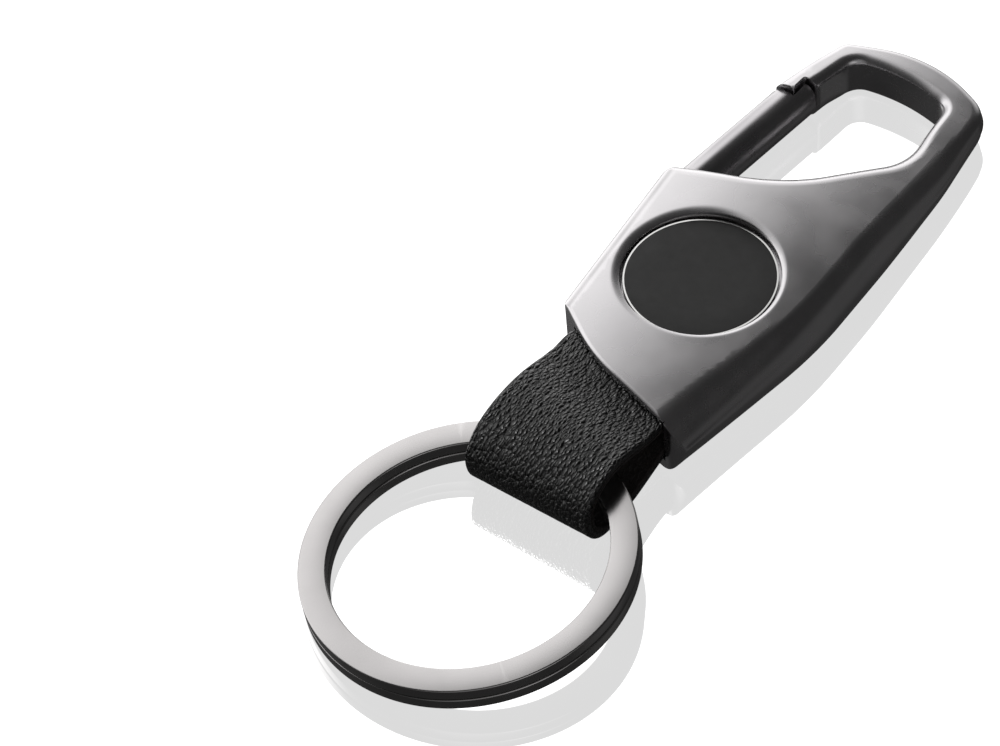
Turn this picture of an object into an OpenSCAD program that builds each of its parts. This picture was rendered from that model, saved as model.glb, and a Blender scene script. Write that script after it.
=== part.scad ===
// Carabiner key ring: a cast clip with a sprung gate, a folded leather strap and a flat split ring.
// Millimetres. Origin: on the flat back, under the centre of the inlay disc. +Y points to the hook,
// -Y to the split ring, +Z out of the front face.

/* [Clip body] */
// Thickness of the clip body at its crown
body_t = 8.2; // [8:0.1:8.6]
// Thickness of the hook at its far end
hook_t = 5; // [4.8:0.1:5.4]
// Radius of the front's crown across the body
crown_r = 95; // [80:5:140]

/* [Inlay] */
// Radius of the inlay disc
disc_r = 8.2; // [7.8:0.1:8.4]
// Thickness of the inlay disc
disc_t = 0.9; // [0.7:0.1:1]
// Depth from the crown to the face of the inlay disc
disc_sink = 0.85; // [0.7:0.05:1]
// Thickness of the adhesive under the disc
glue_t = 0.15; // [0.1:0.05:0.2]

/* [Gate] */
// Radius of the gate's round bar
gate_r = 2.28; // [2.1:0.02:2.34]
// Lean of the gate towards the opening when shut, in degrees
gate_lean = 7; // [6:0.5:7.5]
// Angle the gate opens through, in degrees
gate_open = 26; // [20:1:28]
// Radius of the gate's pivot pin
pin_r = 0.9; // [0.8:0.05:0.95]

/* [Strap] */
// Width of the leather strap
strap_w = 15.5; // [15:0.1:15.8]
// Thickness of the grain leather
leather_t = 0.8; // [0.7:0.05:0.85]
// Thickness of the lining
lining_t = 0.55; // [0.45:0.05:0.6]

/* [Split ring] */
// Outer radius of the split ring
ring_r = 17.5; // [17:0.1:17.8]
// Width of the ring's flat strip
ring_w = 2.95; // [2.7:0.05:3.1]
// Thickness of one coil
coil_t = 1.35; // [1.2:0.05:1.4]
// Gap between the two coils
coil_gap = 0.14; // [0.1:0.02:0.2]
// Pitch of the resting ring, up towards the strap, in degrees
ring_pitch = 2.7; // [2.5:0.1:2.9]
// Roll of the resting ring, up towards +X, in degrees
ring_roll = 5; // [4.8:0.1:5.2]

/* [Hidden] */
$fn = 64;
eps = 0.01;
far = 60;                      // longer than any cut needs

gunmetal = [0.5, 0.49, 0.5];
nickel = [0.4, 0.39, 0.39];
steel = [0.62, 0.61, 0.6];
black_leather = [0.05, 0.05, 0.05];
black_disc = [0.09, 0.09, 0.09];
amber_glue = [0.75, 0.7, 0.55];

hook_end_y = 40.5;                         // far end of the hook
taper_y = 14;                              // where the front starts to fall towards the hook
taper = (body_t - hook_t) / (hook_end_y - taper_y);
mid_z = 3.05;                              // middle of the gate's bar
disc_floor = body_t - disc_sink - disc_t - glue_t;
recess_r = disc_r + 0.3;

pin_h = 6.6;                               // depth of the pin's bore, from the back
pivot = [-10.6, 10];                       // the gate's pivot, in plan
running = 0.06;                            // radial clearance of a turning fit
slot_gap = 0.15;                           // clearance over and under the gate
lip_y = 28.8;                              // end of the nose's outer lip
seat_y = 31;                               // end of the nose's inner half, over the gate's tooth
step_x = -7.75;                            // where the nose steps from lip to seat
latch_gap = 0.3;                           // gap around the shut gate's end

lobe_arm = 2.9;                            // lever of the gate's lobe about the pivot
lobe_r = 1.0;
plunger_bore_r = 1.0;
plunger_r = plunger_bore_r - running;
plunger_h = 2.4;
spring_bottom_y = 1.2;                     // end of the spring's blind bore
plunger_top_y = pivot.y - lobe_r - 0.03;

strap_t = leather_t + lining_t;
strap_x = 0.3;                             // middle of the strap's width
leg_gap = 0.1;                             // between the strap's two legs where they are clamped
strap_floor = strap_t / 2 + 0.05;          // middle of the strap where it lies on the floor
leg_z = 3.3;                               // height of the clamped joint between the legs
strap_end_y = -5.2;                        // cut ends of the strap, inside the body
screw_xy = [[-3.4, -8.2], [4, -8.2]];
screw_top = disc_floor - 0.5;              // end of the screws, under the inlay
screw_r = 0.9;
screw_head_r = 1.7;
screw_head_h = 0.9;

ring_h = 2 * coil_t + coil_gap;
ring_x = 0.05;
ring_y = -41.3;
ring_z = 0.12 + ring_h / 2 * cos(ring_pitch) * cos(ring_roll)
    + ring_r * sqrt(pow(sin(ring_pitch), 2) + pow(sin(ring_roll), 2));

// Plan of the clip body's outside, counter-clockwise: [x, y, corner radius]. The end at the mouth runs
// on past the finished edge, and is trimmed there.
body_plan = [
    [-9.4, -24, 2], [9.2, -24, 2], [12.75, 2, 70], [12.25, 28, 40], [10.9, 38.5, 4],
    [1.8, 42.2, 16], [-7.8, 38.7, 1.8], [-11, 26, 30], [-12.9, 12, 30]];

// Plan of the hook's opening, which runs out past the gate.
opening_plan = [
    [-17, 10.7, 1], [-0.6, 16, 16], [8, 26.8, 6.5], [7, 36.3, 1.9], [0.4, 37.8, 20],
    [-5.2, 36.8, 2], [-6.9, 26, 1.5], [-17, 26, 1]];
opening_middle = [0, 24];
shoulder = [-12.9, 12];                    // outer corner of the body beside the gate
shoulder_r = 1.8;

// What is kept at the mouth: a slanting, slightly bowed edge between two rounded corners.
mouth_plan = [[-9.9, -10.6, 0.5], [-2.9, -15.4, 22], [10.1, -19.06, 1.8], [18, 0, 1], [18, 50, 1],
    [-18, 50, 1], [-18, 0, 1]];

// Height and inward offset of each level of the body's rounded edge. The heights shrink with the taper.
edge_levels = [[0, 1.1], [0.35, 0.5], [1.2, 0], [5.4, 0], [6.5, 0.25], [7.4, 0.8], [8.8, 2.1]];

// Lines in plan where the back's outer edge is cut away at 45 degrees: [x, y, size] at each end.
back_cuts_right = [[[9.2, -24, 2.6], [12.6, 2, 0.9]], [[12.6, 14, 0.6], [11, 40, 1.7]]];
back_cuts_left = [[[9.4, -24, 2.6], [12.3, 4, 0.8]]];

// Middle line of the strap in the YZ plane, as cubic Bezier spans: end, two handles, end, and so on.
strap_line = [
    [strap_end_y, leg_z + (strap_t + leg_gap) / 2], [-6.6, leg_z + (strap_t + leg_gap) / 2],
    [-7.6, leg_z + (strap_t + leg_gap) / 2], [-9, 4.1],
    [-11.2, 4.2], [-12, 6.3], [-14.6, 6.45],
    [-16.2, 6.52], [-17.2, 6.45], [-18.6, 6.72],
    [-21, 7.2], [-22.6, 8.4], [-25.8, 8.38],
    [-29.3, 8.35], [-31.3, 6.6], [-31.3, 4.7],
    [-31.3, 2.4], [-30.1, strap_floor], [-28, strap_floor],
    [-22.6, strap_floor], [-20, leg_z - (strap_t + leg_gap) / 2], [-16.5, leg_z - (strap_t + leg_gap) / 2],
    [-12, leg_z - (strap_t + leg_gap) / 2], [-8, leg_z - (strap_t + leg_gap) / 2],
    [strap_end_y, leg_z - (strap_t + leg_gap) / 2]];
strap_roof_spans = 3;                      // spans of the upper leg inside the body
strap_steps = 10;                          // points per span

// ---- outlines ----

function unit(v) = v / norm(v);
function cross2(a, b) = a.x * b.y - a.y * b.x;
function xy(p) = [p.x, p.y];
function wrapped(list, i) = list[(i + len(list)) % len(list)];

// Arc of n + 1 points that rounds the corner b, between a and c.
function corner_arc(a, b, c, r, n) =
    let (u = unit(a - b), v = unit(c - b), half = acos(u * v) / 2,
        o = b + unit(u + v) * r / sin(half),
        p = b + u * r / tan(half) - o, q = b + v * r / tan(half) - o,
        start = atan2(p.y, p.x), turn = (atan2(q.y, q.x) - start + 540) % 360 - 180)
    [for (i = [0:n]) o + r * [cos(start + turn * i / n), sin(start + turn * i / n)]];

// Outline through corners [x, y, radius].
function rounded(corners, n = 6) =
    [for (i = [0:len(corners) - 1])
        each corner_arc(xy(wrapped(corners, i - 1)), xy(corners[i]), xy(wrapped(corners, i + 1)),
            corners[i].z, n)];

// The same corners moved in by d, so that their outline is the offset outline.
function inset(corners, d) =
    [for (i = [0:len(corners) - 1])
        let (b = xy(corners[i]), u = unit(b - xy(wrapped(corners, i - 1))),
            v = unit(xy(wrapped(corners, i + 1)) - b), side = sign(cross2(u, v)),
            normal = [-u.y, u.x], turn = cross2(u, v) / (1 + u * v))
        [each b + d * (normal - u * turn) + [0, 0], max(corners[i].z - side * d, 0.05)]];

function bezier(p, i, t) =
    let (s = 1 - t)
    s * s * s * p[i] + 3 * s * s * t * p[i + 1] + 3 * s * t * t * p[i + 2] + t * t * t * p[i + 3];
function bezier_slope(p, i, t) =
    let (s = 1 - t)
    s * s * (p[i + 1] - p[i]) + 2 * s * t * (p[i + 2] - p[i + 1]) + t * t * (p[i + 3] - p[i + 2]);

// Points along a Bezier chain, moved d to the left of its direction.
function beside(p, d, steps) =
    [for (i = [0:3:len(p) - 4], k = [0:steps - (i < len(p) - 4 ? 1 : 0)])
        let (t = k / steps, u = unit(bezier_slope(p, i, t)))
        bezier(p, i, t) + d * [-u.y, u.x]];

function reversed(list) = [for (i = [len(list) - 1:-1:0]) list[i]];

// ---- clip body ----

// Thickness of the body at y.
function thickness(y) = body_t - taper * max(y - taper_y, 0);

// Prism on a plan that can be seen whole from its middle. Its edge follows levels of [height, inset],
// with plain walls below and above them, that are trimmed off later. A side of -1 flares it instead.
module edged_prism(corners, levels, middle, side = 1) {
    rings = [for (l = levels) rounded(inset(corners, side * l[1]))];
    n = len(rings[0]);
    top = len(rings) + 1;
    points = [
        for (p = rings[0]) [p.x, p.y, -1],
        for (k = [0:top - 2], p = rings[k]) [p.x, p.y, levels[k][0] * thickness(p.y) / body_t],
        for (p = rings[top - 2]) [p.x, p.y, body_t + 1],
        [middle.x, middle.y, -1],
        [middle.x, middle.y, body_t + 1]];
    polyhedron(
        points = points,
        faces = [
            for (i = [0:n - 1]) [i, (i + 1) % n, (top + 1) * n],
            for (i = [0:n - 1]) [top * n + (i + 1) % n, top * n + i, (top + 1) * n + 1],
            for (k = [0:top - 1], i = [0:n - 1])
                [k * n + i, (k + 1) * n + i, (k + 1) * n + (i + 1) % n, k * n + (i + 1) % n]]);
}

// Side view of the body: full thickness at the disc, thinner along the hook.
module side_profile() {
    rotate([90, 0, 90])
        translate([0, 0, -far / 2])
            linear_extrude(far)
                polygon([[-30, 0], [50, 0], [50, thickness(50)], [taper_y, body_t], [-30, body_t]]);
}

module crown() {
    translate([0, 0, body_t - crown_r])
        rotate([90, 0, 0])
            cylinder(r = crown_r, h = 2 * far, center = true, $fn = 180);
}

module mouth_trim() {
    translate([0, 0, -1])
        linear_extrude(body_t + 2)
            polygon(rounded(mouth_plan));
}

// What rounds the body's outer corner beside the gate.
module shoulder_trim() {
    arc = corner_arc(xy(opening_plan[1]), shoulder, xy(body_plan[0]), shoulder_r, 10);
    translate([0, 0, -1])
        linear_extrude(body_t + 2)
            polygon([each arc, [arc[10].x - 2, arc[10].y], [arc[10].x - 2, arc[0].y + 1],
                [arc[0].x, arc[0].y + 1]]);
}

// A wedge along one line of the back's right-hand edge, from [x, y, size] to [x, y, size].
module back_wedge(from, to) {
    over = 1;
    polyhedron(
        points = [for (e = [from, to]) each [
            [e.x + over, e.y, -over], [e.x + over, e.y, e.z + over], [e.x - e.z - over, e.y, -over]]],
        faces = [[0, 2, 1], [3, 4, 5], [0, 1, 4, 3], [1, 2, 5, 4], [2, 0, 3, 5]]);
}

module body_blank() {
    difference() {
        intersection() {
            edged_prism(body_plan, edge_levels, [0, 0]);
            crown();
            side_profile();
            mouth_trim();
        }
        edged_prism(opening_plan, edge_levels, opening_middle, -1);
        shoulder_trim();
        for (c = back_cuts_right)
            back_wedge(c[0], c[1]);
        mirror([1, 0, 0])
            for (c = back_cuts_left)
                back_wedge(c[0], c[1]);
    }
}

// Room for the gate's bar: from the pivot, between its shut and its open place, out past the shoulder.
module gate_slot() {
    r = gate_r + slot_gap;
    shut = 90 - gate_lean;
    open = shut - gate_open;
    reach = 16;
    z0 = mid_z - gate_r - slot_gap;
    translate([pivot.x, pivot.y, z0]) {
        cylinder(r = r + 0.35, h = 2 * r);
        linear_extrude(2 * r)
            polygon([
                [0, -r], [-4.5, -r], [-4.5, reach],
                reach * [cos(shut), sin(shut)],
                reach * [cos(open), sin(open)] + r * [sin(open), -cos(open)],
                r * [sin(open), -cos(open)]]);
        // room for the lobe, down to the plunger
        translate([0, -lobe_r - 2, 0])
            cube([lobe_arm + lobe_r + 0.3, lobe_r + 3.5, 2 * r]);
    }
}

module nose_step() {
    translate([0, 0, -1])
        linear_extrude(body_t + 2)
            polygon([[-14, 20], [-14, lip_y], [step_x, lip_y], [step_x, seat_y], [-3, seat_y], [-3, 20]]);
}

// The pocket for the strap's two legs. Its roof rises with the upper leg, to just under the front.
module strap_pocket() {
    clearance = 0.15;
    low = leg_z - strap_t - leg_gap / 2 - clearance;
    roof = beside([for (i = [0:3 * strap_roof_spans]) strap_line[i]], -strap_t / 2 - clearance, strap_steps);
    inner_y = strap_end_y + 0.4;
    outer_y = -20;
    rotate([90, 0, 90])
        translate([0, 0, strap_x - strap_w / 2 - clearance])
            linear_extrude(strap_w + 2 * clearance)
                polygon(concat([[inner_y, low], [inner_y, roof[0].y]], roof,
                    [[outer_y, roof[len(roof) - 1].y + 0.4], [outer_y, low - 0.8], [-17.4, low]]));
}

module carabiner_body() {
    color(gunmetal)
        difference() {
            body_blank();
            nose_step();
            gate_slot();
            strap_pocket();
            // recess for the inlay, with a flared rim
            translate([0, 0, disc_floor])
                cylinder(r = recess_r, h = far);
            translate([0, 0, body_t - 0.5])
                cylinder(r1 = recess_r, r2 = recess_r + 0.5, h = 0.51);
            // blind bore for the gate's pin, from the back
            translate([pivot.x, pivot.y, -eps])
                cylinder(r = pin_r, h = pin_h + 0.1);
            // blind bore for the spring and its plunger
            translate([pivot.x + lobe_arm, spring_bottom_y, mid_z])
                rotate([-90, 0, 0])
                    cylinder(r = plunger_bore_r, h = pivot.y - spring_bottom_y);
            for (p = screw_xy)
                translate([p.x, p.y, 0])
                    strap_screw_hole();
        }
}

module strap_screw_hole() {
    translate([0, 0, -eps])
        cylinder(r = screw_r, h = screw_top + 0.2);
    translate([0, 0, -eps])
        cylinder(r = screw_head_r + 0.1, h = screw_head_h + 0.1);
}

// ---- inlay ----

module inlay_disc() {
    bevel = 0.25;
    color(black_disc)
        translate([0, 0, disc_floor + glue_t]) {
            cylinder(r = disc_r, h = disc_t - bevel);
            translate([0, 0, disc_t - bevel])
                cylinder(r1 = disc_r, r2 = disc_r - bevel, h = bevel);
        }
}

module inlay_adhesive() {
    color(amber_glue)
        translate([0, 0, disc_floor])
            cylinder(r = disc_r - 0.6, h = glue_t);
}

// ---- gate and its spring ----

// Plan of the gate: a bar whose end has a notch for the nose's lip and a rounded tooth beside it.
gate_plan = [[-15, 4, 1], [-2, 4, 1], [-4.4, 28.6, 2.2], [-6.2, seat_y - latch_gap - 0.1, 0.9],
    [step_x + latch_gap, seat_y - latch_gap, 0.3], [step_x + latch_gap - 0.1, lip_y - latch_gap, 0.1],
    [-15, lip_y - latch_gap, 1]];

module gate() {
    boss_r = pin_r + 1;
    color(gunmetal)
        difference() {
            union() {
                intersection() {
                    translate([pivot.x, pivot.y, mid_z])
                        rotate([-90, 0, -gate_lean])
                            cylinder(r = gate_r, h = 24);
                    translate([0, 0, -1])
                        linear_extrude(far)
                            polygon(rounded(gate_plan));
                }
                translate([pivot.x, pivot.y, mid_z - gate_r])
                    cylinder(r = boss_r, h = 2 * gate_r);
                translate([pivot.x, pivot.y, mid_z - 1.2]) {
                    translate([0, -lobe_r, 0])
                        cube([lobe_arm, 2 * lobe_r, 2.4]);
                    translate([lobe_arm, 0, 0])
                        cylinder(r = lobe_r, h = 2.4);
                }
            }
            translate([pivot.x, pivot.y, -1])
                cylinder(r = pin_r + running, h = far);
        }
}

module gate_pivot_pin() {
    color(steel)
        translate([pivot.x, pivot.y, 0.15])
            cylinder(r = pin_r, h = pin_h - 0.2);
}

module spring_plunger() {
    color(steel)
        translate([pivot.x + lobe_arm, plunger_top_y - plunger_h, mid_z])
            rotate([-90, 0, 0])
                cylinder(r = plunger_r, h = plunger_h);
}

// Round-wire compression spring along Y, between the bore's end and the plunger.
spring_turns = 7;
spring_wire_r = 0.16;
spring_r = plunger_bore_r - spring_wire_r - 0.06;
spring_low = spring_bottom_y + spring_wire_r + 0.02;
spring_high = plunger_top_y - plunger_h - spring_wire_r - 0.02;
spring_sides = 8;
spring_steps = 14;

module gate_spring() {
    count = spring_turns * spring_steps;
    pitch = (spring_high - spring_low) / spring_turns;
    path = [for (i = [0:count])
        let (a = 360 * i / spring_steps)
        [spring_r * cos(a), spring_low + pitch * i / spring_steps, spring_r * sin(a)]];
    color(steel)
        translate([pivot.x + lobe_arm, 0, mid_z])
            polyhedron(
                points = [for (i = [0:count], k = [0:spring_sides - 1])
                    let (a = 360 * i / spring_steps, b = 360 * k / spring_sides, out = [cos(a), 0, sin(a)])
                    path[i] + spring_wire_r * (cos(b) * out + sin(b) * [0, 1, 0])],
                faces = [
                    [for (k = [0:spring_sides - 1]) k],
                    [for (k = [spring_sides - 1:-1:0]) count * spring_sides + k],
                    for (i = [0:count - 1], k = [0:spring_sides - 1])
                        [i * spring_sides + k, (i + 1) * spring_sides + k,
                            (i + 1) * spring_sides + (k + 1) % spring_sides,
                            i * spring_sides + (k + 1) % spring_sides]]);
}

// ---- strap ----

// A band of the strap between two offsets from its middle line, with the screws' holes.
module strap_band(outer, inner) {
    difference() {
        rotate([90, 0, 90])
            translate([0, 0, strap_x - strap_w / 2])
                linear_extrude(strap_w)
                    polygon(concat(beside(strap_line, outer, strap_steps),
                        reversed(beside(strap_line, inner, strap_steps))));
        for (p = screw_xy)
            translate([p.x, p.y, -1])
                cylinder(r = screw_r + 0.05, h = far);
    }
}

module strap_leather() {
    color(black_leather)
        strap_band(-strap_t / 2, -strap_t / 2 + leather_t);
}

module strap_lining() {
    color(black_leather)
        strap_band(-strap_t / 2 + leather_t, strap_t / 2);
}

module strap_screw(p) {
    color(steel)
        translate([p.x, p.y, 0.05])
            difference() {
                union() {
                    cylinder(r = screw_head_r, h = screw_head_h);
                    cylinder(r = screw_r, h = screw_top - 0.05);
                }
                // hexagonal driver socket
                translate([0, 0, -1])
                    cylinder(r = 0.75, h = 1.6, $fn = 6);
            }
}

module strap_screw_left() {
    strap_screw(screw_xy[0]);
}

module strap_screw_right() {
    strap_screw(screw_xy[1]);
}

// ---- split ring ----

// One flat strip wound twice: it lies on top for a turn, steps down through the jog, and lies
// underneath for another turn.
jog_half = 11;                             // half the angle that the jog takes up
end_gap = 2;                               // angle between a strip end and the jog

module ring_sector(from, to, z, h) {
    rotate([0, 0, from])
        translate([0, 0, z])
            rotate_extrude(angle = to - from, $fn = 120)
                translate([ring_r - ring_w, 0])
                    square([ring_w, h]);
}

// The jog: a wedge of the ring cut to a strip that climbs from the lower coil to the upper one.
module ring_jog() {
    reach = ring_r * tan(jog_half) + 0.6;
    climb = coil_t + coil_gap;
    intersection() {
        ring_sector(-jog_half - 0.3, jog_half + 0.3, -ring_h / 2, ring_h);
        translate([0, 0, -ring_h / 2])
            rotate([90, 0, 90])
                linear_extrude(ring_r + 1)
                    polygon([
                        [-reach - 2, 0], [-reach + 1, 0], [reach - 1, climb], [reach + 2, climb],
                        [reach + 2, ring_h], [reach - 1, ring_h], [-reach + 1, coil_t],
                        [-reach - 2, coil_t]]);
    }
}

module split_ring() {
    color(nickel)
        translate([ring_x, ring_y, ring_z])
            rotate([ring_pitch, -ring_roll, 0])
                rotate([0, 0, 90]) {
                    ring_sector(jog_half, 360 - jog_half - end_gap, ring_h / 2 - coil_t, coil_t);
                    ring_sector(jog_half + end_gap, 360 - jog_half, -ring_h / 2, coil_t);
                    ring_jog();
                }
}

carabiner_body();
inlay_disc();
inlay_adhesive();
gate();
gate_pivot_pin();
gate_spring();
spring_plunger();
strap_leather();
strap_lining();
strap_screw_left();
strap_screw_right();
split_ring();
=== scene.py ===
"""Looks for the carabiner key ring. Lengths are in millimetres, which MM turns into metres."""

import math
import bpy
import numpy as np
from mathutils import Matrix, Vector, noise
from mathutils.geometry import delaunay_2d_cdt


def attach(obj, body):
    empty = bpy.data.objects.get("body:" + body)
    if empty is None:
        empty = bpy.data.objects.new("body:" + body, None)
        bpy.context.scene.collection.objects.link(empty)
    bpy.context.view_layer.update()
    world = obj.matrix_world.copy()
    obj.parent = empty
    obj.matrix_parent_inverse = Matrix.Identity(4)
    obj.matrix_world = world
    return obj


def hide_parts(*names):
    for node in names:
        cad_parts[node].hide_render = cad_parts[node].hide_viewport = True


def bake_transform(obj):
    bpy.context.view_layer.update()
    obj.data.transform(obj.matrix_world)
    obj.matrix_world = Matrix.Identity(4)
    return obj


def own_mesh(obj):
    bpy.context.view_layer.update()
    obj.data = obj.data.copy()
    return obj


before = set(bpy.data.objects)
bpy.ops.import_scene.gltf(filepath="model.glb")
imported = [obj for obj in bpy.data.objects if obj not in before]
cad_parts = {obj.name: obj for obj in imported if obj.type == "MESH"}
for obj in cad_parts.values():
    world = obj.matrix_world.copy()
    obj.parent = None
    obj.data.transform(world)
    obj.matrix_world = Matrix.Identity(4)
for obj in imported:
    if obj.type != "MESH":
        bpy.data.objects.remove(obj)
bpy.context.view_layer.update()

MM = 0.001

# ---- sizes shared with the CAD model ----
BODY_T, HOOK_T, CROWN_R = 8.2, 5.0, 95.0
HOOK_END_Y, TAPER_Y = 40.5, 14.0
TAPER = (BODY_T - HOOK_T) / (HOOK_END_Y - TAPER_Y)
MID_Z = 3.05
DISC_R, DISC_T, DISC_TOP = 8.2, 0.9, 7.35
RECESS_R, RECESS_FLOOR = 8.5, 6.3
PIVOT = (-10.6, 10.0)
GATE_R, GATE_LEAN, GATE_OPEN, PIN_R = 2.28, 7.0, 26.0, 0.9
LOBE_ARM, LOBE_R = 2.9, 1.0
STRAP_W, STRAP_X, LEATHER_T, STRAP_T = 15.5, 0.3, 0.8, 1.35
LEG_Z, LEG_GAP, STRAP_END_Y = 3.3, 0.1, -5.2
SCREWS, SCREW_TOP = ((-3.4, -8.2), (4.0, -8.2)), 5.8
RING_R, RING_W, COIL_T, COIL_GAP = 17.5, 2.95, 1.35, 0.14
RING_PITCH, RING_ROLL = 2.7, 5.0
RING_CENTRE = (0.05, -41.3, 3.267)
SPRING_Y = (1.2, 6.57)

# ---- sizes of the visual model alone ----
FIT_GAP = 0.15            # room round the strap and the gate
RIM_R, RIM_X, RIM_Y = 9.25, -0.28, 0.12    # outer circle of the recess's rounded rim
HOLE_SIDES = 180
MOUTH_EDGE, NOSE_EDGE = 0.38, 0.16
BACK_LIP = 0.16
WALL_BOW, WALL_ROWS = 0.16, 9
EDGE_STEP = 0.3
TOP_SPACING, LOW_SPACING = 0.5, 2.2
DISC_FACE_R = DISC_R - 0.22
FACE_DROP = 0.02          # how far the disc's face lies below its polished edge


# ---- mesh helpers ----
def make_object(name, verts, faces, material, smooth_angle=None):
    """A mesh object from points in millimetres."""
    mesh = bpy.data.meshes.new(name)
    mesh.from_pydata([tuple(float(c) * MM for c in v) for v in verts], [], faces)
    mesh.validate()
    mesh.materials.append(material)
    obj = bpy.data.objects.new(name, mesh)
    bpy.context.scene.collection.objects.link(obj)
    if smooth_angle is not None:
        shade(obj, smooth_angle)
    return obj


def shade(obj, angle):
    """Smooth shading, with sharp edges where faces meet at more than angle degrees."""
    mesh = obj.data
    mesh.polygons.foreach_set("use_smooth", [True] * len(mesh.polygons))
    mesh.set_sharp_from_angle(angle=math.radians(angle))


def apply_modifiers(obj):
    graph = bpy.context.evaluated_depsgraph_get()
    mesh = bpy.data.meshes.new_from_object(obj.evaluated_get(graph), depsgraph=graph)
    old = obj.data
    obj.modifiers.clear()
    obj.data = mesh
    mesh.name = obj.name
    bpy.data.meshes.remove(old)


def combine(obj, other, operation):
    """Adds, cuts or keeps the overlap with another solid, and stops if Blender skips the step."""
    before = len(obj.data.vertices)
    m = obj.modifiers.new("cut", "BOOLEAN")
    m.object, m.operation, m.solver = other, operation, "MANIFOLD"
    apply_modifiers(obj)
    assert len(obj.data.vertices) != before, f"{operation} of {obj.name} with {other.name} did nothing"
    bpy.data.objects.remove(other)


def corner_arc(a, b, c, r, step):
    """Points of the arc of radius r that rounds the corner b between a and c."""
    a, b, c = (np.array(p[:2], float) for p in (a, b, c))
    u, v = (a - b) / np.linalg.norm(a - b), (c - b) / np.linalg.norm(c - b)
    half = math.acos(float(np.clip(u @ v, -1, 1))) / 2
    o = b + (u + v) / np.linalg.norm(u + v) * r / math.sin(half)
    p, q = b + u * r / math.tan(half) - o, b + v * r / math.tan(half) - o
    start = math.atan2(p[1], p[0])
    turn = (math.atan2(q[1], q[0]) - start + 3 * math.pi) % (2 * math.pi) - math.pi
    n = max(3, math.ceil(r * abs(turn) / step))
    t = start + turn * np.arange(n + 1) / n
    return o + r * np.stack([np.cos(t), np.sin(t)], 1)


def outline(corners, step):
    """Closed outline through corners (x, y, radius), with points about step apart, and their corner indices."""
    arcs = [corner_arc(corners[i - 1], corners[i], corners[(i + 1) % len(corners)], corners[i][2], step)
            for i in range(len(corners))]
    points, tags = [], []
    for i, arc in enumerate(arcs):
        points += list(arc)
        tags += [i] * len(arc)
        gap = arcs[(i + 1) % len(arcs)][0] - arc[-1]
        n = max(1, math.ceil(np.linalg.norm(gap) / step))
        for k in range(1, n):
            points.append(arc[-1] + gap * k / n)
            tags.append(i + 0.5)
    return np.array(points), np.array(tags)


def prism(name, corners, z0, z1, material, step=0.4):
    """Upright prism on an outline of corners (x, y, radius)."""
    p, _ = outline(corners, step)
    n = len(p)
    verts = [(x, y, z0) for x, y in p] + [(x, y, z1) for x, y in p]
    faces = [tuple(range(n - 1, -1, -1)), tuple(range(n, 2 * n))]
    faces += [(i, (i + 1) % n, n + (i + 1) % n, n + i) for i in range(n)]
    return make_object(name, verts, faces, material)


def lathe(name, profile, centre, axis, material, sides=96, smooth_angle=35):
    """Solid turned from profile points (radius, height) about an axis. Its first and last radius are 0."""
    w = Vector(axis).normalized()
    u = w.orthogonal().normalized()
    v = w.cross(u)
    verts, faces, rings = [], [], []
    for r, h in profile:
        base = Vector(centre) + w * h
        if r == 0:
            rings.append([len(verts)])
            verts.append(base)
        else:
            rings.append(list(range(len(verts), len(verts) + sides)))
            for k in range(sides):
                t = 2 * math.pi * k / sides
                verts.append(base + u * (r * math.cos(t)) + v * (r * math.sin(t)))
    for a, b in zip(rings, rings[1:]):
        for k in range(sides):
            i, j = k, (k + 1) % sides
            quad = [a[i % len(a)], a[j % len(a)], b[j % len(b)], b[i % len(b)]]
            faces.append(tuple(dict.fromkeys(quad)))
    return make_object(name, verts, faces, material, smooth_angle)


# ---- material helpers ----
class Nodes:
    """A small way to write a node tree."""

    def __init__(self, tree):
        self.tree = tree
        tree.nodes.clear()

    def add(self, kind, inputs=None, **props):
        node = self.tree.nodes.new("ShaderNode" + kind)
        for key, value in props.items():
            setattr(node, key, value)
        for key, value in (inputs or {}).items():
            if isinstance(value, bpy.types.NodeSocket):
                self.tree.links.new(value, node.inputs[key])
            else:
                node.inputs[key].default_value = value
        return node

    def math(self, op, a, b=0.0, clamp=False):
        return self.add("Math", {0: a, 1: b}, operation=op, use_clamp=clamp).outputs[0]

    def ramp(self, value, *stops):
        """A ramp through (position, brightness or colour) stops."""
        node = self.add("ValToRGB", {0: value})
        ramp = node.color_ramp
        while len(ramp.elements) < len(stops):
            ramp.elements.new(0.5)
        for element, (position, colour) in zip(ramp.elements, stops):
            element.position = position
            element.color = (*((colour,) * 3 if isinstance(colour, (int, float)) else colour), 1)
        return node.outputs[0]

    def noise(self, vector, scale, detail, rough):
        return self.add("TexNoise", {"Vector": vector, "Scale": scale, "Detail": detail,
                                     "Roughness": rough}).outputs[0]

    def place(self, vector, scale, rotation):
        return self.add("Mapping", {"Vector": vector, "Scale": scale, "Rotation": rotation}).outputs[0]

    def bump(self, height, strength, distance):
        """A bump, whose distance is in metres."""
        return self.add("Bump", {"Height": height, "Strength": strength, "Distance": distance}).outputs[0]


def material(name):
    m = bpy.data.materials.new(name)
    m.use_nodes = True
    return m, Nodes(m.node_tree)


def close(n, **inputs):
    """The closing shader. Keys are socket names with _ for spaces."""
    shader = n.add("BsdfPrincipled", {k.replace("_", " "): v for k, v in inputs.items()})
    out = n.add("OutputMaterial")
    n.tree.links.new(shader.outputs[0], out.inputs[0])


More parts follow.
